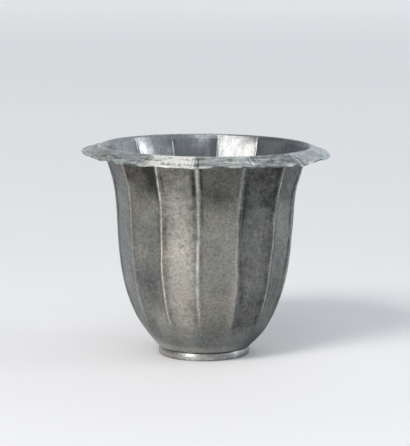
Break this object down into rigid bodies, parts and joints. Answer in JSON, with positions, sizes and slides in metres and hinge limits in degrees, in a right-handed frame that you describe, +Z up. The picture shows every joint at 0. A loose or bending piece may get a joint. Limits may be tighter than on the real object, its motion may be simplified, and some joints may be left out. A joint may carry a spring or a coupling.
{
  "type": "tulip vase",
  "caption": "Bell-shaped pewter vase with raised vertical ribs between flat flutes, a drooping pleated petal lip and a low ring foot.",
  "frame": {"origin": "middle of the ring foot, on the surface that the vase stands on", "axes": "+Z up along the vase's axis, -Y towards the front as pictured, +X to the right"},
  "size_m": [0.1598, 0.1596, 0.1365],
  "materials": {
    "wall": "hammered pewter sheet, satin, with a warm brown-grey patina that is darkest beside the ribs",
    "lip": "pewter sheet, satin and scratched, cooler and lighter than the wall",
    "floor": "pewter sheet, dull satin",
    "foot": "pewter, rubbed to a soft shine",
    "solder": "tin solder, scraped flush",
    "dark_solder": "tin solder, dark with patina in the corner above the foot"
  },
  "bodies": {
    "root": {"fluted_wall": "wall", "petal_lip": "lip", "floor_disc": "floor", "foot_ring": "foot", "lip_solder_seam": "solder", "floor_solder_seam": "solder", "foot_solder_seam": "dark_solder"}
  },
  "joints": []
}
